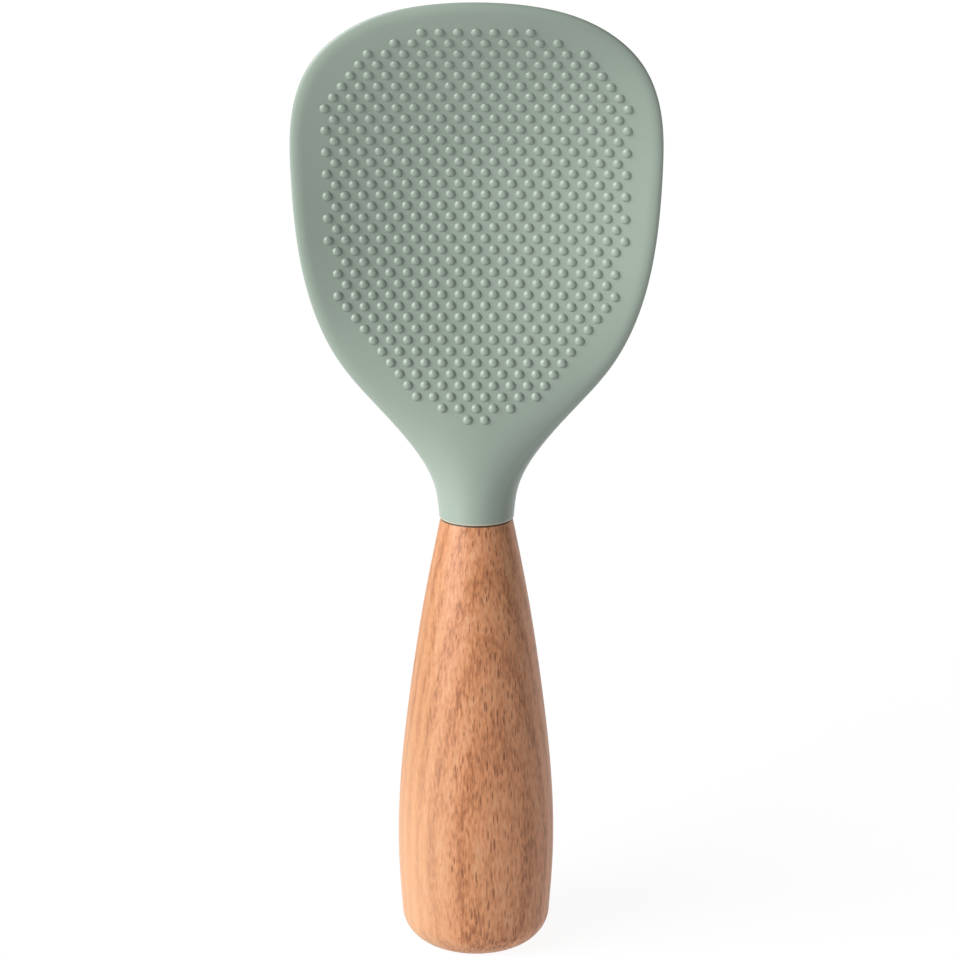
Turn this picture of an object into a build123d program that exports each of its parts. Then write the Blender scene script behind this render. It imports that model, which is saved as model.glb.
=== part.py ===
from build123d import *

import math
import os
from dataclasses import dataclass

os.makedirs("parts", exist_ok=True)

# Rice paddle that stands upright on the flat foot of its wooden handle. All lengths are in mm.
# The origin is the centre of the foot, +Z runs up the axis of the handle, X is the width of the
# blade, and the hollow face of the blade looks towards -Y.

# Turned beech handle
HANDLE_HEIGHT = 100.0
HANDLE_DIAMETER = 35.0
FOOT_DIAMETER = 18.8
FOOT_CORNER_HEIGHT = 7.3
SEAM_DIAMETER = 16.0
WOOD_EDGE_BEVEL = 0.4

# Moulded silicone blade, its heights counted from the seam with the handle
BLADE_HEIGHT = 114.2
BLADE_HALF_WIDTH = 38.8
BLADE_LEAN = 26.4
BLADE_THICKNESS = 4.4
BOWL_DEPTH = 6.2
NECK_RADIUS = 8.2
RIM_HALF_THICKNESS = 1.25
RIM_ROUND = 1.3
SEAM_EDGE_BEVEL = 0.5

# Stiff core inside the silicone: a flat strip on a round tang that is glued into the handle
STRIP_START = 2.0
STRIP_REACH = 62.0
STRIP_WIDTH = 24.0
STRIP_THICKNESS = 1.6
STRIP_WAIST_WIDTH = 8.0
STRIP_WAIST_REACH = 15.0
STRIP_SHOULDER_REACH = 36.0
STRIP_OFFSET = 1.6
STRIP_TIP_OFFSET = 3.2
TANG_DIAMETER = 8.0
TANG_LENGTH = 40.0
TANG_REACH = 12.0
TANG_CHAMFER = 0.8
NOTCH_DEPTH = 1.0
NOTCH_WIDTH = 4.0
GLUE_FILM = 0.3
GLUE_PUDDLE = 2.0

# Number of notches in the tang, and of short cones that the side and the corner are turned in
NOTCH_COUNT = 2
SIDE_CONES = 10
CORNER_CONES = 4

# Profile of the handle above the rounded corner of its foot, which leaves off at the first radius:
# height on HANDLE_HEIGHT and radius on half HANDLE_DIAMETER
CORNER_RADIUS_SHARE = 0.957
HANDLE_SHARES = (
    (0.2, 1.0),
    (0.4, 0.968),
    (0.6, 0.843),
    (0.8, 0.672),
)

# Sections of the blade above the seam: height on BLADE_HEIGHT, half width on BLADE_HALF_WIDTH,
# forward reach on the way from the neck's front to BLADE_LEAN, depth on BOWL_DEPTH, and how much
# of the round neck and of the thin plate the section has
BLADE_SHARES = (
    (0.0613, 0.237, -0.016, 0.0, 0.92, 0.08),
    (0.14, 0.357, -0.044, 0.02, 0.70, 0.30),
    (0.219, 0.546, -0.082, 0.10, 0.46, 0.54),
    (0.3065, 0.749, -0.115, 0.37, 0.27, 0.73),
    (0.4116, 0.892, -0.148, 0.74, 0.13, 0.87),
    (0.543, 0.974, -0.132, 1.0, 0.05, 0.95),
    (0.683, 1.0, 0.005, 0.98, 0.0, 1.0),
    (0.8056, 0.974, 0.28, 0.70, 0.0, 0.92),
    (0.8844, 0.877, 0.538, 0.34, 0.0, 0.84),
    (0.9413, 0.706, 0.764, 0.07, 0.0, 0.75),
    (0.9746, 0.513, 0.896, 0.0, 0.0, 0.68),
    (0.993, 0.291, 0.967, 0.0, 0.0, 0.62),
    (1.0, 0.125, 1.0, 0.0, 0.0, 0.55),
)

# Flat part of the rim between its two bevels, on the thickness of the rim
RIM_FLAT_SHARE = 0.4
# Reach along either axis of a point at 45 degrees on a circle, on its radius
DIAGONAL_SHARE = math.sqrt(0.5)
# Length of a cubic curve's handles along the chord, on half the chord, for a quarter circle and
# for a parabola, and the height of the curve on the height of its handles
ARC_HANDLE_SHARE = 0.5523
PARABOLA_HANDLE_SHARE = 2 / 3
ARCH_SHARE = 0.75


@dataclass(frozen=True)
class Section:
    """A level cut through the blade, the same on both sides of X = 0."""

    height: float
    half_width: float
    front: float
    back: float
    bowl: float
    rim_half_thickness: float
    rim_round: float
    handle_share: float

    def place(self, across, depth):
        """Returns the point of this cut at a place across the width and from front to back."""
        return Vector(across, depth, HANDLE_HEIGHT + self.height)

    def arch(self, start, middle, end_depth):
        """Returns the front or back curve from X = start, over the middle, to X = -start."""
        reach = math.copysign(self.handle_share * start, -start)
        lift = (middle - end_depth) / ARCH_SHARE
        return Bezier(
            self.place(start, end_depth),
            self.place(start + reach, end_depth + lift),
            self.place(-start - reach, end_depth + lift),
            self.place(-start, end_depth),
        )

    def rim(self, side, first, last):
        """Returns the rim on one side, between two depths: a flat with a bevel on either side."""
        inner = self.half_width - self.rim_round
        bevel = (1 - RIM_FLAT_SHARE) / 2 * (last - first)
        line = Polyline(
            self.place(side * inner, first),
            self.place(side * self.half_width, first + bevel),
            self.place(side * self.half_width, last - bevel),
            self.place(side * inner, last),
        )
        return line.edges()

    def wire(self):
        """Returns the closed outline: front, right rim, back and left rim."""
        inner = self.half_width - self.rim_round
        middle = (self.front + self.back) / 2 - self.bowl
        front_rim = middle - self.rim_half_thickness
        back_rim = middle + self.rim_half_thickness
        front = self.arch(-inner, self.front, front_rim)
        back = self.arch(inner, self.back, back_rim)
        right = self.rim(1, front_rim, back_rim)
        left = self.rim(-1, back_rim, front_rim)
        return Wire([front, *right, back, *left])


def seam_section():
    """Returns the round cut at the seam, which sits on the end of the handle."""
    return Section(
        height=0,
        half_width=NECK_RADIUS,
        front=-NECK_RADIUS,
        back=NECK_RADIUS,
        bowl=0,
        rim_half_thickness=DIAGONAL_SHARE * NECK_RADIUS,
        rim_round=(1 - DIAGONAL_SHARE) * NECK_RADIUS,
        handle_share=ARC_HANDLE_SHARE,
    )


def blade_sections():
    """Returns the sections of the blade from the seam to the tip."""
    sections = [seam_section()]
    for height, width, forward, bowl, neck, plate in BLADE_SHARES:
        front = -NECK_RADIUS - forward * (BLADE_LEAN - NECK_RADIUS)
        sections.append(
            Section(
                height=height * BLADE_HEIGHT,
                half_width=width * BLADE_HALF_WIDTH,
                front=front,
                back=front + neck * 2 * NECK_RADIUS + plate * BLADE_THICKNESS,
                bowl=bowl * BOWL_DEPTH,
                rim_half_thickness=neck * DIAGONAL_SHARE * NECK_RADIUS + plate * RIM_HALF_THICKNESS,
                rim_round=neck * (1 - DIAGONAL_SHARE) * NECK_RADIUS + plate * RIM_ROUND,
                handle_share=neck * ARC_HANDLE_SHARE + (1 - neck) * PARABOLA_HANDLE_SHARE,
            )
        )
    return sections


def make_blade(core):
    """Returns the silicone blade: a smooth skin over the core, with a bevelled edge at the seam."""
    skin = Solid.make_loft([section.wire() for section in blade_sections()])
    seam_edges = skin.edges().group_by(Axis.Z)[0]
    return skin.chamfer(SEAM_EDGE_BEVEL, None, seam_edges) - core


def cylinder(diameter, bottom, top):
    """Returns a cylinder on the axis of the handle between two heights above the foot."""
    aligned = (Align.CENTER, Align.CENTER, Align.MIN)
    return Pos(0, 0, bottom) * Cylinder(diameter / 2, top - bottom, align=aligned)


def make_strip():
    """Returns the flat strip in the blade: a narrow waist, a shoulder and a round tip."""
    half = STRIP_WIDTH / 2
    waist = STRIP_WAIST_WIDTH / 2
    side = Polyline(
        (0, STRIP_START),
        (waist, STRIP_START),
        (waist, STRIP_WAIST_REACH),
        (half, STRIP_SHOULDER_REACH),
        (half, STRIP_REACH - half),
    )
    tip = CenterArc((0, STRIP_REACH - half), half, 0, 90)
    middle = Line((0, STRIP_REACH), (0, STRIP_START))
    right = make_face(Wire([*side.edges(), *tip.edges(), middle]))
    across = Vector(1, 0, 0)
    upward = Vector(0, STRIP_OFFSET - STRIP_TIP_OFFSET, STRIP_REACH)
    origin = (0, -STRIP_OFFSET, HANDLE_HEIGHT)
    plane = Plane(origin=origin, x_dir=across, z_dir=across.cross(upward))
    return extrude(plane * (right + mirror(right, Plane.YZ)), STRIP_THICKNESS / 2, both=True)


def make_core():
    """Returns the core: the strip on a round tang, which has notches for the glue."""
    tang = cylinder(TANG_DIAMETER, HANDLE_HEIGHT - TANG_LENGTH, HANDLE_HEIGHT + TANG_REACH)
    tip_edge = tang.edges().group_by(Axis.Z)[0]
    tang = chamfer(tip_edge, TANG_CHAMFER)
    notch = Box(2 * NOTCH_DEPTH, TANG_DIAMETER, NOTCH_WIDTH)
    spacing = TANG_LENGTH / (NOTCH_COUNT + 1)
    for number in range(1, NOTCH_COUNT + 1):
        for side in (-1, 1):
            tang -= Pos(side * TANG_DIAMETER / 2, 0, HANDLE_HEIGHT - number * spacing) * notch
    return tang + make_strip()


def make_bore():
    """Returns the space of the blind bore in the handle, which the tang and its glue fill."""
    depth = TANG_LENGTH + GLUE_PUDDLE
    return cylinder(TANG_DIAMETER + 2 * GLUE_FILM, HANDLE_HEIGHT - depth, HANDLE_HEIGHT)


def make_handle(bore):
    """Returns the turned handle: slim at the seam, full above the foot, with a rounded foot."""
    radius = HANDLE_DIAMETER / 2
    foot_radius = FOOT_DIAMETER / 2
    seam_radius = SEAM_DIAMETER / 2
    corner_radius = CORNER_RADIUS_SHARE * radius
    points = [(corner_radius, FOOT_CORNER_HEIGHT)]
    points += [(share * radius, height * HANDLE_HEIGHT) for height, share in HANDLE_SHARES]
    points.append((seam_radius, HANDLE_HEIGHT - WOOD_EDGE_BEVEL))
    side = Spline(points)
    corner = Bezier(
        (foot_radius, 0),
        (foot_radius + ARC_HANDLE_SHARE * (corner_radius - foot_radius), 0),
        Vector(*points[0]) - (side % 0) * ARC_HANDLE_SHARE * FOOT_CORNER_HEIGHT,
        points[0],
    )
    turned = [corner @ (step / CORNER_CONES) for step in range(CORNER_CONES)]
    turned += [side @ (step / SIDE_CONES) for step in range(SIDE_CONES + 1)]
    top = (seam_radius - WOOD_EDGE_BEVEL, HANDLE_HEIGHT)
    outline = Polyline(*turned, top, (0, HANDLE_HEIGHT), (0, 0), close=True)
    return revolve(Plane.XZ * make_face(outline), Axis.Z) - bore


def main():
    """Builds the pieces and writes one STEP file for each."""
    core = make_core()
    bore = make_bore()
    pieces = {
        "silicone_blade": make_blade(core),
        "stiffening_core": core,
        "tang_glue": bore - core,
        "beech_handle": make_handle(bore),
    }
    for name, piece in pieces.items():
        export_step(piece, f"parts/{name}.step")


main()
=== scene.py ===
"""Looks of a stand-up rice paddle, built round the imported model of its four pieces.

The paddle stands on the foot of a turned beech handle, and its dished silicone blade carries rows
of small raised dots. Lengths are in metres, +Z is up, and the hollow face of the blade looks
towards -Y.
"""

import logging
import math
from dataclasses import dataclass
from enum import Enum

import bpy
import numpy as np
from mathutils import Matrix, Vector


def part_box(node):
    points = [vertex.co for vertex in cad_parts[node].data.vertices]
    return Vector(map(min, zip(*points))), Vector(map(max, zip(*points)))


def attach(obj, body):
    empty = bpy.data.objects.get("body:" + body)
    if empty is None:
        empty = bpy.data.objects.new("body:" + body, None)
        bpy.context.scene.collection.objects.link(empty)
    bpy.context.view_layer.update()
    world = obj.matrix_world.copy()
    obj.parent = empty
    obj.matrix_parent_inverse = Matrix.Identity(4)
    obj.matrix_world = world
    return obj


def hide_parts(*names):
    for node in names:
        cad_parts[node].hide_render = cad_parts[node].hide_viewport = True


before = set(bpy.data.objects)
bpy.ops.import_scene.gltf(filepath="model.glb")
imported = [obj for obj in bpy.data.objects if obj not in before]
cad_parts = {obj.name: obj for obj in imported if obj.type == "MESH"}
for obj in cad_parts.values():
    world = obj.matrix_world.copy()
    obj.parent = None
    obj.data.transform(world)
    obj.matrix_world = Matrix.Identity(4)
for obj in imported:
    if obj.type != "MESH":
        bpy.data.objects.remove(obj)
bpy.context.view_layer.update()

MM = 0.001
BODY = "root"

# Least half width that a place across is divided by
TINY = 1e-9
# Numbers of the colour sockets on a Mix node
COLOUR_A = 6
COLOUR_B = 7
COLOUR_OUT = 2

log = logging.getLogger("rice_paddle")


class Face(Enum):
    """A face of the blade, with the way along Y that it looks."""

    FRONT = -1
    BACK = 1


class Slot(Enum):
    """A material slot of the record. New pieces are handed one, but it is not used."""

    SILICONE = "silicone"
    BEECH = "beech"


@dataclass(frozen=True)
class SmoothCurve:
    """A natural cubic spline through rows of values, one row for each knot."""

    knots: np.ndarray
    rows: np.ndarray

    def at(self, places: np.ndarray) -> np.ndarray:
        """Returns the rows at some places along the knots.

        Between two knots the curve is the straight line between their rows plus a cubic term for
        each knot, as large as the curve's second derivative there, which is zero at both ends.

        Args:
            places: Numbers between the first and the last knot.

        Returns:
            One row of values for each place.
        """
        steps = np.diff(self.knots)[:, None]
        slopes = np.diff(self.rows, axis=0) / steps
        count = len(self.knots)
        system = np.eye(count)
        inner = np.arange(1, count - 1)
        system[inner, inner - 1] = steps[:-1, 0]
        system[inner, inner] = 2 * (steps[:-1, 0] + steps[1:, 0])
        system[inner, inner + 1] = steps[1:, 0]
        target = np.zeros_like(self.rows)
        target[1:-1] = 6 * np.diff(slopes, axis=0)
        bends = np.linalg.solve(system, target)
        low = np.clip(np.searchsorted(self.knots, places) - 1, 0, count - 2)
        step = steps[low]
        up = (places - self.knots[low])[:, None] / step
        down = 1 - up
        straight = down * self.rows[low] + up * self.rows[low + 1]
        bend = (down**3 - down) * bends[low] + (up**3 - up) * bends[low + 1]
        return straight + bend * step**2 / 6


def add_piece(name: str, points: np.ndarray, faces: list, slot: Slot) -> bpy.types.Object:
    """Makes a smooth mesh piece that rides on the paddle.

    Args:
        name: Name of the piece.
        points: Vertices, one row of X, Y and Z each.
        faces: Corners of each face, as rows of vertex numbers.
        slot: Not used.

    Returns:
        The new object.
    """
    mesh = bpy.data.meshes.new(name)
    mesh.from_pydata(points.tolist(), [], faces)
    mesh.validate()
    mesh.polygons.foreach_set("use_smooth", np.ones(len(mesh.polygons), bool))
    mesh.update()
    piece = bpy.data.objects.new(name, mesh)
    bpy.context.scene.collection.objects.link(piece)
    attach(piece, BODY)
    return piece


def tube_faces(rows: int, columns: int, first: int = 0) -> list:
    """Lists the faces of a tube of rings that is closed by a point at either end.

    The vertices are the first pole, the rings in order and the last pole. A quad joins each pair of
    neighbours on two rings, and a fan of triangles joins each end ring to its pole.

    Args:
        rows: Number of rings.
        columns: Number of vertices in a ring.
        first: Number of the first pole's vertex.

    Returns:
        The faces as lists of vertex numbers.
    """
    ring = np.arange(columns)
    following = (ring + 1) % columns
    start = first + 1 + columns * np.arange(rows - 1)[:, None]
    lower = [start + ring, start + following]
    upper = [start + following + columns, start + ring + columns]
    quads = np.stack(lower + upper, axis=-1)
    last_ring = first + 1 + columns * (rows - 1)
    last_pole = np.full(columns, last_ring + columns)
    bottom = np.stack([np.full(columns, first), first + 1 + following, first + 1 + ring], axis=-1)
    top = np.stack([last_ring + ring, last_ring + following, last_pole], axis=-1)
    return quads.reshape(-1, 4).tolist() + bottom.tolist() + top.tolist()


class Signal:
    """A number that changes over a surface. Arithmetic on it adds Math nodes to its board."""

    def __init__(self, board: "Board", socket: bpy.types.NodeSocket) -> None:
        """Keeps the board that the socket is on."""
        self.board = board
        self.socket = socket

    def math(self, operation: str, *others: "Signal | float") -> "Signal":
        """Returns the result of a Math node whose first input is this signal."""
        inputs = dict(enumerate((self, *others)))
        return self.board.node("ShaderNodeMath", {"operation": operation}, inputs)

    def __add__(self, other: "Signal | float") -> "Signal":
        """Adds two numbers."""
        return self.math("ADD", other)

    def __sub__(self, other: "Signal | float") -> "Signal":
        """Takes a number from this one."""
        return self.math("SUBTRACT", other)

    def __mul__(self, other: "Signal | float") -> "Signal":
        """Multiplies two numbers."""
        return self.math("MULTIPLY", other)

    def __rsub__(self, other: float) -> "Signal":
        """Takes this number from another."""
        return self.board.node("ShaderNodeMath", {"operation": "SUBTRACT"}, {0: other, 1: self})

    __radd__ = __add__
    __rmul__ = __mul__

    def step(self, low: float, high: float) -> "Signal":
        """Returns a smooth step over this signal.

        Args:
            low: Where the step is still 0.
            high: Where the step has reached 1, on either side of the low value.

        Returns:
            A signal between 0 and 1.
        """
        settings = {"interpolation_type": "SMOOTHSTEP"}
        inputs = {"Value": self, "From Min": low, "From Max": high}
        return self.board.node("ShaderNodeMapRange", settings, inputs)


class Board:
    """The node tree of one material."""

    def __init__(self, name: str) -> None:
        """Makes a material with an empty node tree.

        Args:
            name: Name of the material.
        """
        self.material = bpy.data.materials.new(name)
        self.material.use_nodes = True
        self.tree = self.material.node_tree
        self.tree.nodes.clear()

    def node(self, kind: str, settings: dict, inputs: dict, output: int | str = 0) -> Signal:
        """Adds a node, with its settings first and then the values or links of its sockets.

        Args:
            kind: Blender's type of the node.
            settings: Properties by name, and a ramp's stops as pairs of place and colour.
            inputs: Values or signals by the name or number of the socket.
            output: Name or number of the socket to return.

        Returns:
            The chosen output.
        """
        made = self.tree.nodes.new(kind)
        for name, value in settings.items():
            if name == "stops":
                self.set_stops(made.color_ramp, value)
            else:
                setattr(made, name, value)
        for key, value in inputs.items():
            if isinstance(value, Signal):
                self.tree.links.new(value.socket, made.inputs[key])
            else:
                made.inputs[key].default_value = value
        return Signal(self, made.outputs[output]) if made.outputs else Signal(self, None)

    @staticmethod
    def set_stops(ramp: bpy.types.ColorRamp, stops: list) -> None:
        """Gives a ramp its stops.

        Args:
            ramp: The ramp of a Color Ramp node.
            stops: Pairs of place and colour.
        """
        while len(ramp.elements) < len(stops):
            ramp.elements.new(0.5)
        for element, (place, colour) in zip(ramp.elements, stops):
            element.position = place
            element.color = (*colour, 1.0)

    def place(self, scale: tuple = (1.0, 1.0, 1.0), offset: tuple = (0.0, 0.0, 0.0)) -> Signal:
        """Returns the object's own coordinates, scaled and then moved.

        Args:
            scale: Scale along X, Y and Z.
            offset: What is added to the scaled coordinates.

        Returns:
            The coordinates.
        """
        coordinates = self.node("ShaderNodeTexCoord", {}, {}, "Object")
        inputs = {"Vector": coordinates, "Scale": scale, "Location": offset}
        return self.node("ShaderNodeMapping", {}, inputs)

    def part(self, axis: str) -> Signal:
        """Returns one of the object's own coordinates."""
        return self.node("ShaderNodeSeparateXYZ", {}, {0: self.place()}, axis)

    def noise(
        self, place: Signal, scale: float, detail: float = 2.0, roughness: float = 0.5
    ) -> Signal:
        """Returns a noise between 0 and 1 over the given coordinates."""
        inputs = {"Vector": place, "Scale": scale, "Detail": detail, "Roughness": roughness}
        return self.node("ShaderNodeTexNoise", {"noise_dimensions": "3D"}, inputs, "Fac")

    def mix(
        self,
        share: Signal | float,
        first: Signal | tuple,
        second: Signal | tuple,
        blend: str = "MIX",
    ) -> Signal:
        """Returns a colour between two others, as far along as the share says.

        Args:
            share: 0 for the first colour and 1 for the second.
            first: A colour or a signal.
            second: A colour or a signal.
            blend: Blender's name for the way that they blend.

        Returns:
            The colour.
        """
        settings = {"data_type": "RGBA", "blend_type": blend}
        colours = [c if isinstance(c, Signal) else (*c, 1.0) for c in (first, second)]
        inputs = {0: share, COLOUR_A: colours[0], COLOUR_B: colours[1]}
        return self.node("ShaderNodeMix", settings, inputs, COLOUR_OUT)

    def finish(
        self, inputs: dict, height: Signal | None = None, depth: float = 0.0
    ) -> bpy.types.Material:
        """Ends the material with its shader.

        Args:
            inputs: Values or signals for the Principled shader, by name.
            height: Height of the surface's fine relief.
            depth: Depth of the relief in metres.

        Returns:
            The finished material.
        """
        if height is not None:
            relief = {"Height": height, "Distance": depth, "Strength": 1.0}
            inputs["Normal"] = self.node("ShaderNodeBump", {}, relief)
        shader = self.node("ShaderNodeBsdfPrincipled", {}, inputs)
        self.node("ShaderNodeOutputMaterial", {}, {"Surface": shader})
        return self.material


@dataclass(frozen=True)
class SiliconeFinish:
    """Matte, dyed silicone with a fine moulded grain, faint clouding and a painted highlight: a
    pale band at the seam's lip.
    """

    seam: float
    colour: tuple = (0.327, 0.4, 0.338)
    cloud_colour: tuple = (0.31, 0.381, 0.321)
    lip_highlight_colour: tuple = (0.5, 0.475, 0.365)
    lip_highlight_fade: tuple = (0.32 * MM, 0.5 * MM)
    specular: float = 0.62
    roughness: float = 0.35
    cloud_roughness: float = 0.08
    grain_roughness: float = 0.1
    clouds: float = 38.0
    cloud_detail: float = 3.0
    cloud_edge: tuple = (0.35, 0.68)
    grain: float = 2600.0
    grain_depth: float = 0.012 * MM

    def make(self) -> bpy.types.Material:
        """Returns the material.

        The lip is a band of painted highlight over the seam, where the lip's bevel would catch the
        light. The clouds and the grain also vary the roughness a little.

        Returns:
            The material of the blade and its dots.
        """
        board = Board("sage_silicone")
        place = board.place()
        clouds = board.noise(place, self.clouds, self.cloud_detail)
        grain = board.noise(place, self.grain)
        colour = board.mix(clouds.step(*self.cloud_edge), self.colour, self.cloud_colour)
        # Painted highlight: a pale band just above the seam, standing in for light on the lip's
        # bevel.
        start, end = self.lip_highlight_fade
        lip = 1.0 - board.part("Z").step(self.seam + start, self.seam + end)
        colour = board.mix(lip, colour, self.lip_highlight_colour)
        roughness = self.roughness + self.cloud_roughness * (clouds - 0.5)
        roughness = roughness + self.grain_roughness * (grain - 0.5)
        inputs = {
            "Base Color": colour,
            "Roughness": roughness,
            "Specular IOR Level": self.specular,
        }
        return board.finish(inputs, grain, self.grain_depth)


@dataclass(frozen=True)
class Grain:
    """A noise in the wood, with its cells for each metre along X, Y and Z."""

    cells: tuple
    detail: float = 2.0
    roughness: float = 0.5
    offset: tuple = (0.0, 0.0, 0.0)

    def on(self, board: Board) -> Signal:
        """Returns the noise, between 0 and 1."""
        return board.noise(board.place(self.cells, self.offset), 1.0, self.detail, self.roughness)


@dataclass(frozen=True)
class Strokes:
    """Narrow upright strokes round the points of a random grid, as the ends of rays are.

    Their size, on the size of a cell, is a share of the drift, which comes and goes over the wood,
    plus a share of how far the surface lies along the growth bands, less a number.
    """

    cells: tuple
    drift_share: float
    facing_share: float
    less: float
    edge: float
    strength: float
    relief: float

    def on(self, board: Board, drift: Signal, facing: Signal) -> Signal:
        """Returns 1 on the strokes and 0 beside them.

        Args:
            board: The board to add the nodes to.
            drift: A slow noise between 0 and 1.
            facing: 1 where the surface lies along the growth bands.

        Returns:
            The mask of the strokes, with a soft edge.
        """
        settings = {"voronoi_dimensions": "3D", "feature": "F1"}
        inputs = {"Vector": board.place(self.cells), "Scale": 1.0}
        spots = board.node("ShaderNodeTexVoronoi", settings, inputs, "Distance")
        reach = drift * self.drift_share + facing * self.facing_share - self.less
        return (reach - spots).step(0.0, self.edge)


@dataclass(frozen=True)
class BeechFinish:
    """Sanded and oiled beech: soft growth bands, long fibres and the short dark ends of rays.

    The stops are the tones that have the pale, the middle and the deep colour. Each fade is the
    place where it begins and the place where it is full, from the axis, the foot or the top.
    """

    top: float
    pale: tuple = (0.7, 0.37, 0.2)
    middle: tuple = (0.625, 0.27, 0.12)
    deep: tuple = (0.36, 0.13, 0.05)
    stops: tuple = (0.5, 0.7, 0.9)
    rosy: tuple = (0.7, 0.315, 0.155)
    rosy_edge: tuple = (0.46, 0.62)
    rosy_share: float = 0.25
    right_painted_light_gain: tuple = (1.29, 1.29, 1.36)
    right_painted_light_fade: tuple = (-1.0 * MM, 15.0 * MM)
    left_painted_shade_gain: tuple = (0.86, 0.9, 0.87)
    left_painted_shade_fade: tuple = (-2.0 * MM, -13.0 * MM)
    low_left_pale: tuple = (0.76, 0.44, 0.257)
    low_left_pale_across: tuple = (-15.0 * MM, 0.0)
    low_left_pale_up: tuple = (15.0 * MM, 70.0 * MM)
    low_left_pale_share: float = 0.5
    ray: tuple = (0.165, 0.045, 0.018)
    gap_shade_and_end_grain: tuple = (0.085, 0.05, 0.028)
    gap_shade_and_end_grain_fade: tuple = (0.44 * MM, 0.3 * MM)
    pith: tuple = (-14.0 * MM, 59.0 * MM)
    ring_spacing: float = 3.1 * MM
    ring_wander: float = 6.0
    wander: Grain = Grain((45.0, 45.0, 7.0), 3.0)
    fibres: Grain = Grain((900.0, 900.0, 60.0), 4.0, 0.65)
    threads: Grain = Grain((1900.0, 1900.0, 420.0))
    mottle: Grain = Grain((1500.0, 1500.0, 1000.0))
    blush: Grain = Grain((130.0, 130.0, 11.0), offset=(1.0, 5.0, 0.0))
    drift: Grain = Grain((200.0, 200.0, 50.0), offset=(3.0, 1.0, 2.0))
    rays: Strokes = Strokes(
        cells=(1400.0, 1400.0, 200.0),
        drift_share=0.5,
        facing_share=0.9,
        less=0.8,
        edge=0.16,
        strength=0.6,
        relief=0.9,
    )
    flecks: Strokes = Strokes(
        cells=(1750.0, 1750.0, 330.0),
        drift_share=0.3,
        facing_share=0.6,
        less=0.33,
        edge=0.35,
        strength=0.34,
        relief=0.3,
    )
    base_tone: float = 0.3
    band_tone: float = 0.13
    fibre_tone: float = 0.46
    wander_tone: float = 0.12
    mottle_tone: float = 0.12
    thread_tone: float = 0.15
    facing_thread_tone: float = 0.6
    fibre_relief: float = 0.5
    thread_relief: float = 0.3
    roughness: float = 0.46
    fibre_roughness: float = 0.12
    ray_roughness: float = 0.1
    relief_depth: float = 0.035 * MM
    specular: float = 0.5
    subsurface: float = 0.3
    subsurface_radius: tuple = (1.0, 0.4, 0.2)
    subsurface_scale: float = 3.0 * MM

    def bands(self, board: Board, wander: Signal) -> Signal:
        """Returns the growth bands: a sine of the distance from the pith, moved by a slow noise.

        Args:
            board: The board to add the nodes to.
            wander: The slow noise.

        Returns:
            A signal between 0 and 1.
        """
        from_pith = board.place((1.0, 1.0, 0.0), (-self.pith[0], -self.pith[1], 0.0))
        length = {"operation": "LENGTH"}
        radius = board.node("ShaderNodeVectorMath", length, {0: from_pith}, "Value")
        turns = radius * (2 * math.pi / self.ring_spacing) + wander * self.ring_wander
        return turns.math("SINE") * 0.5 + 0.5

    def facing(self, board: Board) -> Signal:
        """Returns 1 where the surface lies along the growth bands, and 0 where it cuts across.

        Args:
            board: The board to add the nodes to.

        Returns:
            The size of the cosine between the way out from the axis and the way from the pith.
        """
        flat = board.place((1.0, 1.0, 0.0))
        level = board.node("ShaderNodeVectorMath", {"operation": "NORMALIZE"}, {0: flat}, "Vector")
        away = Vector((-self.pith[0], -self.pith[1], 0.0)).normalized()
        product = {"operation": "DOT_PRODUCT"}
        along = board.node("ShaderNodeVectorMath", product, {0: level, 1: away}, "Value")
        return along.math("ABSOLUTE")

    def shade_sides(self, board: Board, wood: Signal) -> Signal:
        """Paints light and shade on the sides: painted light on the right, which lies in shade,
        painted shade on the lit left, and paler low on the left.

        Args:
            board: The board to add the nodes to.
            wood: The colour of the wood.

        Returns:
            The changed colour.
        """
        across, height = board.part("X"), board.part("Z")
        # Painted light on the right side, which the key leaves in shade, and painted shade on the
        # lit left side.
        wood = board.mix(across.step(*self.right_painted_light_fade), wood, self.right_painted_light_gain, "MULTIPLY")
        wood = board.mix(across.step(*self.left_painted_shade_fade), wood, self.left_painted_shade_gain, "MULTIPLY")
        # Paler low on the left side.
        left = 1.0 - across.step(*self.low_left_pale_across)
        low = 1.0 - height.step(*self.low_left_pale_up)
        return board.mix(left * low * self.low_left_pale_share, wood, self.low_left_pale)

    def make(self) -> bpy.types.Material:
        """Returns the material.

        The tone of the wood is a weighted sum of its bands, fibres, threads and mottling. Patches
        of it are rosier. Strong ray ends come in drifts where the surface lies along the bands,
        over a close layer of faint ones. A dark band at the top, under the silicone, is partly end
        grain dark with oil and partly painted shade for the gap at the seam.

        Returns:
            The material of the handle.
        """
        board = Board("oiled_beech")
        facing = self.facing(board)
        wander, fibres = self.wander.on(board), self.fibres.on(board)
        threads, mottle = self.threads.on(board), self.mottle.on(board)
        tone = self.bands(board, wander) * self.band_tone + fibres * self.fibre_tone
        tone = tone + wander * self.wander_tone + mottle * self.mottle_tone + self.base_tone
        depth = facing * self.facing_thread_tone + self.thread_tone
        tone = tone + (threads - 0.5) * depth
        stops = list(zip(self.stops, (self.pale, self.middle, self.deep)))
        wood = board.node("ShaderNodeValToRGB", {"stops": stops}, {"Fac": tone})
        blush = self.blush.on(board).step(*self.rosy_edge)
        wood = board.mix(blush * self.rosy_share, wood, self.rosy)
        wood = self.shade_sides(board, wood)
        drift = self.drift.on(board)
        rays = self.rays.on(board, drift, facing)
        flecks = self.flecks.on(board, drift, facing)
        colour = board.mix(flecks * self.flecks.strength, wood, self.ray)
        colour = board.mix(rays * self.rays.strength, colour, self.ray)
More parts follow.
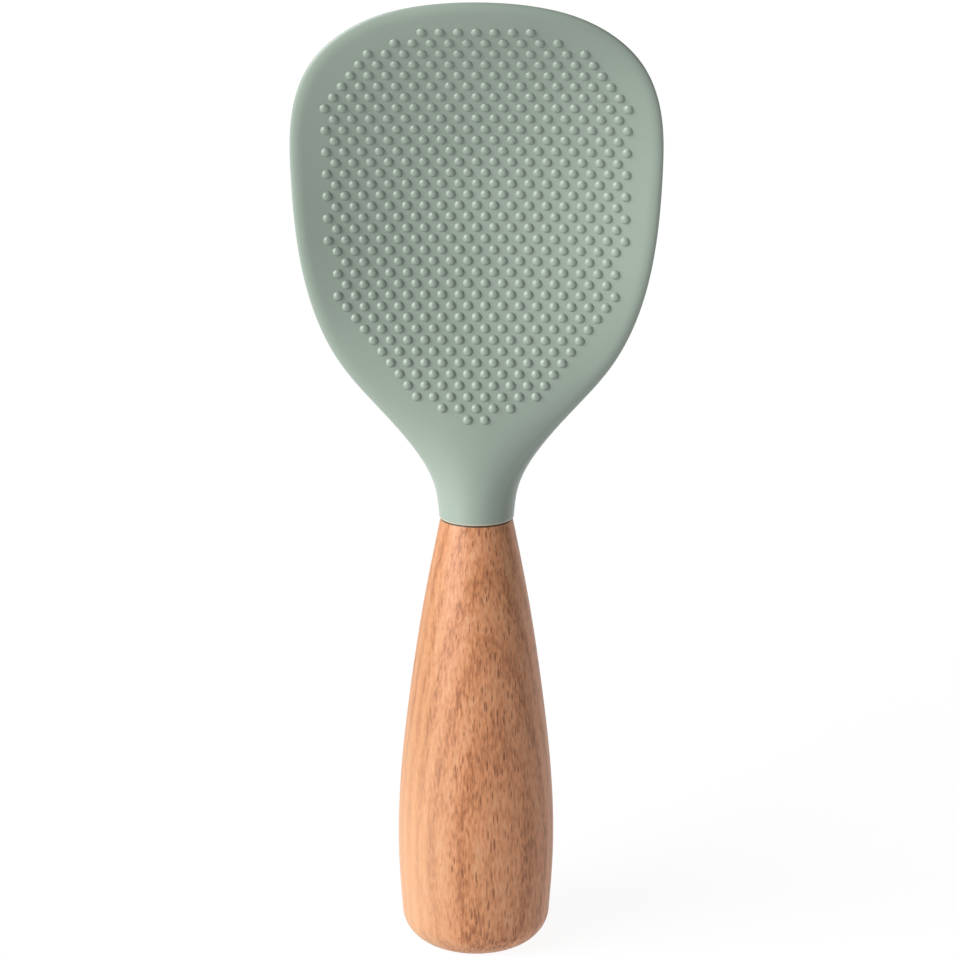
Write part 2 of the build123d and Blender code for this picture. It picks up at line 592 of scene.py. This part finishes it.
        # Painted shade: a dark band at the top under the silicone stands in for the gap at the
        # seam, over end grain dark with oil.
        start, end = self.gap_shade_and_end_grain_fade
        gap_shade_and_end_grain = board.part("Z").step(self.top - start, self.top - end)
        colour = board.mix(gap_shade_and_end_grain, colour, self.gap_shade_and_end_grain)
        roughness = self.roughness + self.fibre_roughness * (fibres - 0.5)
        roughness = roughness + self.ray_roughness * rays
        relief = fibres * self.fibre_relief + threads * self.thread_relief
        relief = relief - rays * self.rays.relief - flecks * self.flecks.relief
        inputs = {
            "Base Color": colour,
            "Roughness": roughness,
            "Specular IOR Level": self.specular,
            "Subsurface Weight": self.subsurface,
            "Subsurface Radius": self.subsurface_radius,
            "Subsurface Scale": self.subsurface_scale,
        }
        return board.finish(inputs, relief, self.relief_depth)


@dataclass(frozen=True)
class HiddenFinish:
    """A plain moulded or cured material for a piece inside the paddle, with faint mottling."""

    name: str
    colour: tuple
    roughness: float
    mottle: float = 260.0
    mottle_detail: float = 3.0
    mottle_shade: float = 0.8
    mottle_roughness: float = 0.15

    def make(self) -> bpy.types.Material:
        """Returns the material.

        Returns:
            The material of a hidden piece.
        """
        board = Board(self.name)
        speckle = board.noise(board.place(), self.mottle, self.mottle_detail)
        darker = tuple(self.mottle_shade * part for part in self.colour)
        colour = board.mix(speckle, self.colour, darker)
        roughness = self.roughness + self.mottle_roughness * (speckle - 0.5)
        return board.finish({"Base Color": colour, "Roughness": roughness})


NYLON = HiddenFinish("grey_nylon", colour=(0.09, 0.095, 0.09), roughness=0.5)
GLUE = HiddenFinish("cured_glue", colour=(0.62, 0.55, 0.36), roughness=0.25)


@dataclass(frozen=True)
class FloorFinish:
    """The pale studio sweep: matte and lit from below, and weaker as a lamp than it looks."""

    colour: tuple = (0.12, 0.12, 0.1195)
    shade: tuple = (0.114, 0.114, 0.1135)
    glow: float = 0.92
    fill: float = 0.477
    clouds: float = 3.0
    roughness: float = 0.85
    cloud_roughness: float = 0.1
    specular: float = 0.1

    def make(self) -> bpy.types.Material:
        """Returns the material.

        Returns:
            The material of the sweep, which glows at full strength for all but diffuse rays.
        """
        board = Board("studio_sweep")
        uneven = board.noise(board.place(), self.clouds)
        lighting = board.node("ShaderNodeLightPath", {}, {}, "Is Diffuse Ray")
        inputs = {
            "Base Color": board.mix(uneven, self.colour, self.shade),
            "Roughness": self.roughness + self.cloud_roughness * (uneven - 0.5),
            "Specular IOR Level": self.specular,
            "Emission Color": board.mix(lighting, (1.0,) * 3, (self.fill,) * 3),
            "Emission Strength": self.glow,
        }
        return board.finish(inputs)


@dataclass(frozen=True)
class BladeShape:
    """The form of the silicone blade: a round neck that turns into a dished plate leaning forward.

    Each station is a level of the blade: its height on the blade's height, its half width on the
    largest one, how far forward the face is on the way from the neck's front to the tip, the dish
    on the bowl's depth, and how much of the round neck and of the thin plate it has. Each step of
    the lip is how far in and how high the edge at the seam is there, and the next ring lies higher
    than the lip by its gap at least.
    """

    seam: float
    height: float
    half_width: float
    reach: float
    neck_radius: float
    thickness: float = 4.4 * MM
    rim_thickness: float = 2.5 * MM
    rim_round: float = 2.6 * MM
    bowl: float = 6.2 * MM
    lip: tuple = ((0.2 * MM, 0.0), (0.05 * MM, 0.04 * MM), (0.0, 0.15 * MM))
    lip_gap: float = 0.2 * MM
    samples: int = 1200
    edge_stride: int = 3
    stations: tuple = (
        (0.0, 0.2113, 0.0, 0.0, 1.0, 0.0),
        (0.0613, 0.237, -0.016, 0.0, 0.92, 0.08),
        (0.14, 0.357, -0.044, 0.02, 0.70, 0.30),
        (0.219, 0.546, -0.082, 0.10, 0.46, 0.54),
        (0.3065, 0.749, -0.115, 0.37, 0.27, 0.73),
        (0.4116, 0.892, -0.148, 0.74, 0.13, 0.87),
        (0.543, 0.974, -0.132, 1.0, 0.05, 0.95),
        (0.683, 1.0, 0.005, 0.98, 0.0, 1.0),
        (0.8056, 0.974, 0.28, 0.70, 0.0, 0.92),
        (0.8844, 0.877, 0.538, 0.34, 0.0, 0.84),
        (0.9413, 0.706, 0.764, 0.07, 0.0, 0.75),
        (0.9746, 0.513, 0.896, 0.0, 0.0, 0.68),
        (0.993, 0.291, 0.967, 0.0, 0.0, 0.62),
        (1.0, 0.0, 1.0, 0.0, 0.0, 0.55),
    )

    def levels(self) -> np.ndarray:
        """Returns the stations at even steps along the edge of the blade, from the seam to the tip.

        The stations are joined by a smooth curve over the length of the edge. It runs on over the
        tip and down the other side, so that the edge is level at the tip.

        Returns:
            One row for each level, with the values of a station.
        """
        table = np.array(self.stations)
        mirrored = table[-4:-1][::-1] * (1, -1, 1, 1, 1, 1)
        table = np.vstack([table, mirrored])
        edge = table[:, :2] * (self.height, self.half_width)
        lengths = np.r_[0, np.cumsum(np.linalg.norm(np.diff(edge, axis=0), axis=1))]
        places = np.linspace(0, lengths[len(self.stations) - 1], self.samples)
        rows = SmoothCurve(lengths, table).at(places)
        rows[:, 0] = np.minimum(np.maximum.accumulate(rows[:, 0]), 1.0)
        rows[-1, :2] = (1.0, 0.0)
        return rows

    def edge_distance(
        self, across: np.ndarray, height: np.ndarray, levels: np.ndarray
    ) -> np.ndarray:
        """Returns how far places of the plate are from its edge, measured square to the edge.

        Args:
            across: Places along X.
            height: Heights above the seam.
            levels: The stations from the seam to the tip.

        Returns:
            Distances in metres, zero on the edge.
        """
        edge = levels[:: self.edge_stride, :2] * (self.height, self.half_width)
        along = np.gradient(edge, axis=0)
        outward = np.stack([-along[:, 1], along[:, 0]], axis=1)
        outward /= np.linalg.norm(outward, axis=1, keepdims=True)
        spot = np.stack([height.ravel(), np.abs(across).ravel()], axis=1)
        apart = (spot[:, None, :] - edge[None]).astype(np.float32)
        nearest = np.argmin((apart**2).sum(axis=2), axis=1)
        distance = ((edge[nearest] - spot) * outward[nearest]).sum(axis=1)
        return np.maximum(distance, 0).reshape(across.shape)

    def depth(self, across: np.ndarray, height: np.ndarray, face: Face) -> np.ndarray:
        """Returns Y on a face of the blade.

        The middle of the blade is the front line of the level, set back by half the thickness,
        less the dish, which grows with the square of the place across. The half thickness is a
        share of an ellipse for the neck plus a share of the plate, whose edge is a quarter of an
        ellipse.

        Args:
            across: Places along X.
            height: Heights above the seam.
            face: The front or the back.

        Returns:
            Y for each place.
        """
        levels = self.levels()
        share = height / self.height
        width, forward, bowl, neck, plate = (
            np.interp(share, levels[:, 0], levels[:, column]) for column in range(1, 6)
        )
        part = np.clip(across / np.maximum(width * self.half_width, TINY), -1, 1)
        front = -self.neck_radius - forward * (self.reach - self.neck_radius)
        middle = front + neck * self.neck_radius + plate * self.thickness / 2
        middle = middle - bowl * self.bowl * part**2
        near_edge = np.clip(1 - self.edge_distance(across, height, levels) / self.rim_round, 0, 1)
        flat = self.thickness / 2 - (self.thickness - self.rim_thickness) / 2 * part**2
        half = neck * self.neck_radius * np.sqrt(1 - part**2)
        half = half + plate * flat * np.sqrt(1 - near_edge**2)
        return middle + face.value * half


@dataclass(frozen=True)
class DotField:
    """The rows of small domes that keep rice from sticking to the hollow face.

    Each ring of the profile is a radius on the dot's radius and a height on its rise. Each corner
    of the outline is a height on the blade's height and the field's half width on the blade's
    largest one.
    """

    radius: float = 0.97 * MM
    rise: float = 0.54 * MM
    pitch: float = 3.68 * MM
    row_pitch: float = 2.408 * MM
    middle: float = 67.85 * MM
    row_growth: float = 0.00256
    sides: int = 10
    sink: float = 0.5
    slope_step: float = 0.2 * MM
    profile: tuple = ((1.2, -0.1), (1.0, 0.2), (0.84, 0.62), (0.52, 0.93))
    outline: tuple = (
        (0.1979, 0.0),
        (0.2277, 0.238),
        (0.2496, 0.3674),
        (0.4291, 0.771),
        (0.5517, 0.8228),
        (0.7968, 0.8331),
        (0.9019, 0.6339),
        (0.9501, 0.2975),
    )

    def places(self, shape: BladeShape) -> np.ndarray:
        """Returns X and the height above the seam of each dot.

        Every other row has a dot in the middle, and the rows between them have one half a pitch to
        either side of it. The pitch of the rows grows a little towards the neck.

        Args:
            shape: The blade that carries the dots.

        Returns:
            One row for each dot.
        """
        edge = np.array(self.outline) * (shape.height, shape.half_width)
        count = math.ceil(shape.height / self.row_pitch)
        row = np.arange(-count, count + 1)
        height = self.middle - self.row_pitch * row * (1 + self.row_growth / 2 * row)
        inside = (height > edge[0, 0]) & (height < edge[-1, 0])
        row, height = row[inside], height[inside]
        reach = np.interp(height, edge[:, 0], edge[:, 1])
        number = np.arange(-count, count + 1)
        across = self.pitch * (number[None, :] + np.where(row % 2, 0.0, 0.5)[:, None])
        kept = np.abs(across) <= reach[:, None]
        tall = np.broadcast_to(height[:, None], across.shape)
        return np.stack([across[kept], tall[kept]], axis=1)

    def mesh(self, shape: BladeShape) -> tuple[np.ndarray, list]:
        """Returns the vertices and faces of all the dots.

        Each dot is a profile turned round the line that is square to the face at its place. That
        line comes from the face's slopes along X and Z, which are differences over a small step.
        The foot's middle is sunk into the face.

        Args:
            shape: The blade that carries the dots.

        Returns:
            The vertices and the faces.
        """
        across, height = self.places(shape).T
        small = self.slope_step
        here = shape.depth(across, height, Face.FRONT)
        slope_x = (shape.depth(across + small, height, Face.FRONT) - here) / small
        slope_z = (shape.depth(across, height + small, Face.FRONT) - here) / small
        outward = np.stack([slope_x, -np.ones_like(here), slope_z], axis=1)
        outward /= np.linalg.norm(outward, axis=1, keepdims=True)
        sideways = np.stack([np.ones_like(here), slope_x, np.zeros_like(here)], axis=1)
        sideways /= np.linalg.norm(sideways, axis=1, keepdims=True)
        upward = np.cross(outward, sideways)
        centre = np.stack([across, here, shape.seam + height], axis=1)
        angle = np.linspace(0, 2 * math.pi, self.sides, endpoint=False)
        radius, lift = np.array(self.profile).T * ((self.radius,), (self.rise,))
        ring = (
            np.cos(angle)[None, None, :, None] * sideways[:, None, None, :]
            + np.sin(angle)[None, None, :, None] * upward[:, None, None, :]
        )
        rings = centre[:, None, None, :] + radius[None, :, None, None] * ring
        rings = rings + (lift[None, :, None, None] * outward[:, None, None, :])
        foot = centre - outward * self.rise * self.sink
        crown = centre + outward * self.rise
        dots = len(centre)
        points = np.concatenate([foot[:, None], rings.reshape(dots, -1, 3), crown[:, None]], axis=1)
        size = points.shape[1]
        faces = []
        for dot in range(dots):
            faces += tube_faces(len(self.profile), self.sides, dot * size)
        return points.reshape(-1, 3), faces


class SiliconeBlade:
    """The moulded blade with its neck, rim and dots."""

    def __init__(self, columns: int = 160, rows: int = 190) -> None:
        """Reads the blade's place and size from the frame.

        Args:
            columns: Number of vertices in a ring of the skin.
            rows: Number of rings along the edge.
        """
        low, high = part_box("silicone_blade")
        self.shape = BladeShape(
            seam=low.z,
            height=high.z - low.z,
            half_width=high.x,
            reach=-low.y,
            neck_radius=high.y,
        )
        self.dots = DotField()
        self.columns = columns
        self.rows = rows

    def skin(self) -> tuple[np.ndarray, list]:
        """Returns the vertices and faces of the smooth skin.

        A ring goes over the front from the left edge to the right and back over the rear. Its
        places across are the half width times the sine of an even angle, which crowds them at the
        edges. The rings are at even steps along the edge, over the few that round the lip.

        Returns:
            The vertices and the faces.
        """
        shape = self.shape
        levels = shape.levels()
        picked = levels[np.linspace(0, len(levels) - 1, self.rows).round().astype(int)[1:-1]]
        inward, rise = np.array(shape.lip).T
        picked = picked[picked[:, 0] * shape.height > rise[-1] + shape.lip_gap]
        height = np.r_[rise, picked[:, 0] * shape.height]
        width = np.interp(height / shape.height, levels[:, 0], levels[:, 1]) * shape.half_width
        width[len(rise) :] = picked[:, 1] * shape.half_width
        half = self.columns // 2
        angle = np.linspace(-math.pi / 2, math.pi / 2, half + 1)
        across = width[:, None] * np.sin(angle)[None, :]
        tall = np.broadcast_to(height[:, None], across.shape)
        front = shape.depth(across, tall, Face.FRONT)
        back = shape.depth(across, tall, Face.BACK)
        x = np.hstack([across, across[:, -2:0:-1]])
        y = np.hstack([front, back[:, -2:0:-1]])
        z = np.hstack([tall, tall[:, -2:0:-1]])
        draw = 1 - np.r_[inward, np.zeros(len(picked))] / shape.neck_radius
        rings = np.stack([x * draw[:, None], y * draw[:, None], z + shape.seam], axis=-1)
        tip_y = shape.depth(np.zeros(1), np.array([shape.height]), Face.FRONT)[0]
        poles = np.array([[[0.0, 0.0, shape.seam]], [[0.0, tip_y, shape.seam + shape.height]]])
        points = np.concatenate([poles[0], rings.reshape(-1, 3), poles[1]])
        return points, tube_faces(len(rings), self.columns)

    def build(self, finish: bpy.types.Material) -> None:
        """Makes the skin and the dots, and dresses them.

        Args:
            finish: The material of both.
        """
        skin = add_piece("blade_skin", *self.skin(), Slot.SILICONE)
        skin.data.materials.append(finish)
        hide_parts("silicone_blade")
        log.info("blade_skin: %d faces", len(skin.data.polygons))
        dots = add_piece("blade_dots", *self.dots.mesh(self.shape), Slot.SILICONE)
        dots.data.materials.append(finish)
        count = len(self.dots.places(self.shape))
        log.info("blade_dots: %d faces on %d dots", len(dots.data.polygons), count)


@dataclass(frozen=True)
class HandleShape:
    """The profile of the turned handle, with its foot, its rounded edges and its blind bore.

    Each station is a height on the handle's height and a radius on its largest one. The flat of the
    foot has a ring a little inside its edge.
    """

    height: float
    radius: float
    foot_radius: float = 9.4 * MM
    foot_ring_share: float = 0.97
    corner_height: float = 7.3 * MM
    corner_radius_share: float = 0.957
    seam_radius: float = 8.0 * MM
    edge_round: float = 0.4 * MM
    bore_radius: float = 4.3 * MM
    bore_depth: float = 42.0 * MM
    stations: tuple = ((0.2, 1.0), (0.4, 0.968), (0.6, 0.843), (0.8, 0.672))
    corner_steps: int = 13
    side_points: int = 110
    edge_steps: int = 4

    def profile(self) -> np.ndarray:
        """Returns the radius and the height along the profile, from the foot to the bore's floor.

        The side is a smooth curve through the stations. The foot's corner is a quarter of an
        ellipse, and the small edge at the seam is a quarter of a circle.

        Returns:
            One row for each point.
        """
        corner = self.radius * self.corner_radius_share
        side = [(corner, self.corner_height)]
        side += [(share * self.radius, height * self.height) for height, share in self.stations]
        side.append((self.seam_radius, self.height - self.edge_round))
        side = np.array(side)
        lengths = np.r_[0, np.cumsum(np.linalg.norm(np.diff(side, axis=0), axis=1))]
        curve = SmoothCurve(lengths, side).at(np.linspace(0, lengths[-1], self.side_points))
        turn = np.linspace(0, math.pi / 2, self.corner_steps + 1)[:-1]
        foot = np.stack(
            [
                self.foot_radius + (corner - self.foot_radius) * np.sin(turn),
                self.corner_height * (1 - np.cos(turn)),
            ],
            axis=1,
        )
        turn = np.linspace(0, math.pi / 2, self.edge_steps + 1)[1:]
        top = np.stack(
            [
                self.seam_radius - self.edge_round * (1 - np.cos(turn)),
                self.height - self.edge_round * (1 - np.sin(turn)),
            ],
            axis=1,
        )
        floor = self.height - self.bore_depth
        bore = [(self.bore_radius, self.height), (self.bore_radius, floor)]
        flat = [(self.foot_ring_share * self.foot_radius, 0.0)]
        return np.vstack([flat, foot, curve, top, bore])


class BeechHandle:
    """The turned wooden handle."""

    def __init__(self, columns: int = 128) -> None:
        """Reads the handle's size from the frame.

        Args:
            columns: Number of vertices in a ring.
        """
        low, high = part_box("beech_handle")
        self.shape = HandleShape(height=high.z - low.z, radius=high.y)
        self.columns = columns

    def skin(self) -> tuple[np.ndarray, list]:
        """Returns the vertices and faces of the profile turned round the Z axis.

        A vertex is the radius times the cosine and the sine of an even angle, and the height.

        Returns:
            The vertices and the faces.
        """
        profile = self.shape.profile()
        angle = np.linspace(0, 2 * math.pi, self.columns, endpoint=False)
        radius, height = profile.T
        x = radius[:, None] * np.cos(angle)
        y = radius[:, None] * np.sin(angle)
        z = np.broadcast_to(height[:, None], x.shape)
        rings = np.stack([x, y, z], axis=-1)
        poles = np.array([[[0.0, 0.0, 0.0]], [[0.0, 0.0, height[-1]]]])
        points = np.concatenate([poles[0], rings.reshape(-1, 3), poles[1]])
        return points, tube_faces(len(rings), self.columns)

    def build(self, finish: bpy.types.Material) -> None:
        """Makes the handle and dresses it.

        Args:
            finish: The material of the wood.
        """
        handle = add_piece("turned_handle", *self.skin(), Slot.BEECH)
        handle.data.materials.append(finish)
        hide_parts("beech_handle")
        log.info("turned_handle: %d faces", len(handle.data.polygons))


@dataclass(frozen=True)
class HiddenInsert:
    """A piece inside the paddle that keeps its solid and gets a finish."""

    node: str
    finish: HiddenFinish

    def dress(self) -> None:
        """Puts the finish on the solid."""
        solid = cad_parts[self.node]
        material = self.finish.make()
        solid.data.materials.clear()
        solid.data.materials.append(material)
        log.info("%s: dressed", self.node)


@dataclass(frozen=True)
class Lamp:
    """A far soft box: the way to it, how wide it looks and how strongly it shines."""

    name: str
    turn: float
    height: float
    width: float
    strength: float

    def hang(self) -> None:
        """Makes the lamp, turned from the front to the right and raised from level."""
        light = bpy.data.lights.new(self.name, "SUN")
        light.angle = self.width
        light.energy = self.strength
        lamp = bpy.data.objects.new(self.name, light)
        bpy.context.scene.collection.objects.link(lamp)
        level, rise = math.cos(self.height), math.sin(self.height)
        way = Vector((math.sin(self.turn) * level, -math.cos(self.turn) * level, rise))
        lamp.location = way
        lamp.rotation_euler = (-way).to_track_quat("-Z", "Y").to_euler()


@dataclass(frozen=True)
class Studio:
    """The pale sweep, the soft boxes and the camera."""

    camera_place: tuple = (6.7 * MM, -559.4 * MM, 261.8 * MM)
    camera_target: tuple = (0.3 * MM, 0.0, 108.7 * MM)
    camera_roll: float = math.radians(0.11)
    lens: float = 99.4
    sensor: float = 36.0
    clip: float = 20.0
    sweep_width: float = 9.0
    sweep_front: float = -2.5
    sweep_back: float = 4.5
    sweep_round: float = 0.9
    sweep_height: float = 3.2
    sweep_points: int = 24
    lamps: tuple = (
        Lamp(
            name="key_box",
            turn=math.radians(-60.0),
            height=math.radians(21.0),
            width=math.radians(50.0),
            strength=4.2,
        ),
    )
    sky: float = 0.1
    backdrop: float = 0.96

    def lay_sweep(self) -> None:
        """Makes the floor, which turns up behind the paddle in a quarter circle."""
        turn = np.linspace(0, math.pi / 2, self.sweep_points)
        flat = self.sweep_back - self.sweep_round
        y = np.r_[self.sweep_front, flat + self.sweep_round * np.sin(turn), self.sweep_back]
        z = np.r_[0.0, self.sweep_round * (1 - np.cos(turn)), self.sweep_height]
        x = np.array([-self.sweep_width / 2, self.sweep_width / 2])
        grid = np.stack(np.broadcast_arrays(x[None, :], y[:, None], z[:, None]), axis=-1)
        start = 2 * np.arange(len(y) - 1)
        faces = np.stack([start, start + 1, start + 3, start + 2], axis=1)
        mesh = bpy.data.meshes.new("studio_sweep")
        mesh.from_pydata(grid.reshape(-1, 3).tolist(), [], faces.tolist())
        mesh.polygons.foreach_set("use_smooth", np.ones(len(faces), bool))
        sweep = bpy.data.objects.new("studio_sweep", mesh)
        bpy.context.scene.collection.objects.link(sweep)
        mesh.materials.append(FloorFinish().make())

    def set_camera(self) -> None:
        """Puts the camera at the photograph's angle."""
        data = bpy.data.cameras.new("camera")
        data.lens = self.lens
        data.sensor_width = self.sensor
        data.clip_end = self.clip
        camera = bpy.data.objects.new("camera", data)
        bpy.context.scene.collection.objects.link(camera)
        aim = (Vector(self.camera_target) - Vector(self.camera_place)).to_track_quat("-Z", "Y")
        turned = aim.to_matrix().to_4x4() @ Matrix.Rotation(self.camera_roll, 4, "Z")
        camera.matrix_world = Matrix.Translation(self.camera_place) @ turned
        bpy.context.scene.camera = camera

    def set_world(self) -> None:
        """Makes the room round the sweep, which shines weakly and looks as pale as the sweep."""
        world = bpy.data.worlds.new("studio_world")
        world.use_nodes = True
        tree = world.node_tree
        room = tree.nodes["Background"]
        room.inputs["Strength"].default_value = self.sky
        seen = tree.nodes.new("ShaderNodeBackground")
        seen.inputs["Strength"].default_value = self.backdrop
        for background in (room, seen):
            background.inputs["Color"].default_value = (1.0, 1.0, 1.0, 1.0)
        path = tree.nodes.new("ShaderNodeLightPath")
        choice = tree.nodes.new("ShaderNodeMixShader")
        tree.links.new(path.outputs["Is Camera Ray"], choice.inputs[0])
        tree.links.new(room.outputs[0], choice.inputs[1])
        tree.links.new(seen.outputs[0], choice.inputs[2])
        tree.links.new(choice.outputs[0], tree.nodes["World Output"].inputs["Surface"])
        bpy.context.scene.world = world

    def build(self) -> None:
        """Sets up the sweep, the light and the camera."""
        self.lay_sweep()
        for lamp in self.lamps:
            lamp.hang()
        self.set_world()
        bpy.context.scene.view_settings.view_transform = "Standard"
        self.set_camera()
        log.info("studio: %d soft boxes", len(self.lamps))


def main() -> None:
    """Builds the paddle and its studio in order."""
    logging.basicConfig(level=logging.INFO, format="%(name)s: %(message)s")
    blade = SiliconeBlade()
    blade.build(SiliconeFinish(blade.shape.seam).make())
    handle = BeechHandle()
    handle.build(BeechFinish(handle.shape.height).make())
    HiddenInsert("stiffening_core", NYLON).dress()
    HiddenInsert("tang_glue", GLUE).dress()
    Studio().build()


if __name__ == "__main__":
    main()
